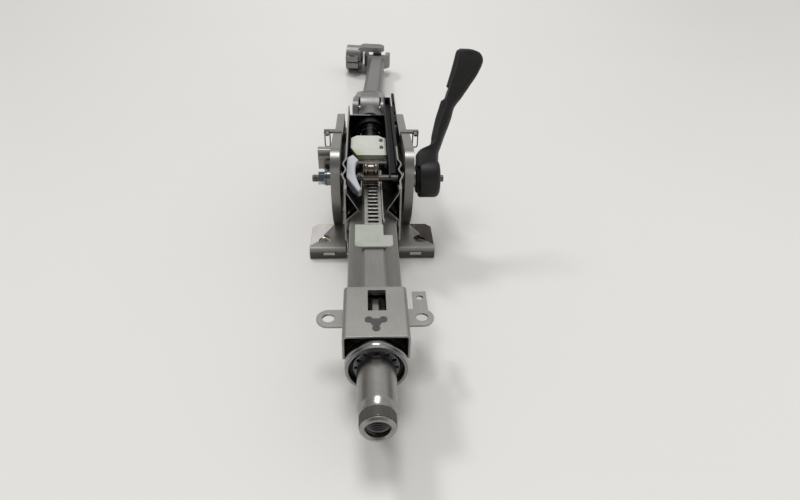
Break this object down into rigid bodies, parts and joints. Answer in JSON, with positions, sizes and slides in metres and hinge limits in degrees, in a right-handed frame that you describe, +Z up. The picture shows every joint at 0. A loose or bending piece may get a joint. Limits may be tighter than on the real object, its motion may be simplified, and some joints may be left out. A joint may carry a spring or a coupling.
{
  "type": "steering column",
  "caption": "Adjustable car steering column: splined shaft in a sliding octagonal jacket, tilting clamp bracket with lever, and an intermediate shaft between cardan joints.",
  "frame": {"origin": "centre of the wheel seat, where the spline meets the cone, on the column axis", "axes": "+Y along the column from the wheel end to the gear end, +Z up as it lies on the table, +X toward the clamp lever"},
  "size_m": [0.1601, 0.7818, 0.1607],
  "materials": {
    "shaft_steel": "turned",
    "bearing_steel": "polished",
    "jacket_steel": "satin",
    "box_steel": "satin",
    "nylon": "moulded",
    "dark_steel": "phosphated",
    "spring_steel": "bright",
    "bracket_steel": "satin",
    "zinc_plate": "zinc plated",
    "tool_steel": "hardened",
    "black_plastic": "moulded",
    "forged_steel": "forged"
  },
  "bodies": {
    "bracket": {"bracket_cheek_left": "bracket_steel", "bracket_cheek_right": "bracket_steel", "foot_left": "bracket_steel", "foot_right": "bracket_steel", "base_plate": "zinc_plate", "rear_bridge": "bracket_steel", "stop_block": "dark_steel", "pivot_bolts": "zinc_plate", "spring_loop_left": "spring_steel", "spring_loop_right": "spring_steel"},
    "housing": {"swing_housing": "dark_steel", "clamp_leaf_left": "spring_steel", "clamp_leaf_right": "spring_steel", "guide_arm": "nylon", "slide_pads": "nylon", "pivot_bushes": "nylon", "bolt_spacers": "bracket_steel", "thrust_collar": "zinc_plate", "fixed_cam": "bracket_steel", "cable_rail": "black_plastic", "rail_cover": "dark_steel", "pawl_spring": "spring_steel", "lower_bearing_outer": "bearing_steel", "lower_bearing_balls": "bearing_steel"},
    "jacket": {"jacket_tube": "jacket_steel", "upper_bearing_outer": "bearing_steel", "upper_bearing_balls": "bearing_steel", "switch_bracket": "box_steel", "stake_mark": "jacket_steel", "rack_strip": "jacket_steel", "rack_clip": "nylon", "absorber_strip": "jacket_steel", "absorber_carrier": "jacket_steel", "absorber_block": "nylon"},
    "upper_shaft": {"steering_shaft": "shaft_steel", "upper_bearing_inner": "bearing_steel", "bearing_retainer": "bearing_steel", "lock_sleeve": "shaft_steel"},
    "lower_shaft": {"lower_shaft": "shaft_steel", "lower_bearing_inner": "bearing_steel", "upper_input_yoke": "forged_steel", "upper_input_cups": "bearing_steel"},
    "upper_cross": {"upper_cross": "shaft_steel"},
    "intermediate": {"upper_output_yoke": "forged_steel", "upper_output_cups": "bearing_steel", "intermediate_tube": "forged_steel", "lower_input_yoke": "forged_steel", "lower_input_cups": "bearing_steel"},
    "lower_cross": {"lower_cross": "shaft_steel"},
    "clamp_yoke": {"lower_clamp_yoke": "forged_steel", "lower_clamp_cups": "bearing_steel"},
    "lever": {"clamp_bolt": "dark_steel", "clamp_nut": "zinc_plate", "pawl_cam": "tool_steel", "moving_cam": "bracket_steel", "clamp_lever": "black_plastic"}
  },
  "joints": [
    {"name": "tilt", "type": "hinge", "parent": "bracket", "child": "housing", "pos_m": [0, 0.395, 0], "axis": [1, 0, 0], "range_deg": [-3, 3]},
    {"name": "reach", "type": "slide", "parent": "housing", "child": "jacket", "axis": [0, 1, 0], "range_m": [-0.02, 0.028]},
    {"name": "steer", "type": "hinge", "parent": "housing", "child": "lower_shaft", "pos_m": [0, 0.397, 0], "axis": [0, 1, 0], "continuous": true},
    {"name": "steer_wheel_end", "type": "hinge", "parent": "jacket", "child": "upper_shaft", "pos_m": [0, 0.0435, 0], "axis": [0, 1, 0], "continuous": true},
    {"name": "upper_joint_yaw", "type": "hinge", "parent": "lower_shaft", "child": "upper_cross", "pos_m": [0, 0.475, 0], "axis": [0, 0, 1], "range_deg": [-25, 25]},
    {"name": "upper_joint_pitch", "type": "hinge", "parent": "upper_cross", "child": "intermediate", "pos_m": [0, 0.475, 0], "axis": [0.9984, -0.0558, 0], "range_deg": [-25, 25]},
    {"name": "lower_joint_pitch", "type": "hinge", "parent": "intermediate", "child": "lower_cross", "pos_m": [0.01509, 0.74498, -0.018], "axis": [0.9984, -0.0558, 0], "range_deg": [-12, 12]},
    {"name": "lower_joint_fold", "type": "hinge", "parent": "lower_cross", "child": "clamp_yoke", "pos_m": [0.01509, 0.74498, -0.018], "axis": [0, 0, 1], "range_deg": [-170, 0]},
    {"name": "lever_swing", "type": "hinge", "parent": "housing", "child": "lever", "pos_m": [0, 0.239, 0.028], "axis": [1, 0, 0], "range_deg": [0, 60]}
  ],
  "couplings": [
    {"joint": "steer_wheel_end", "follows": "steer", "ratio": 1}
  ]
}
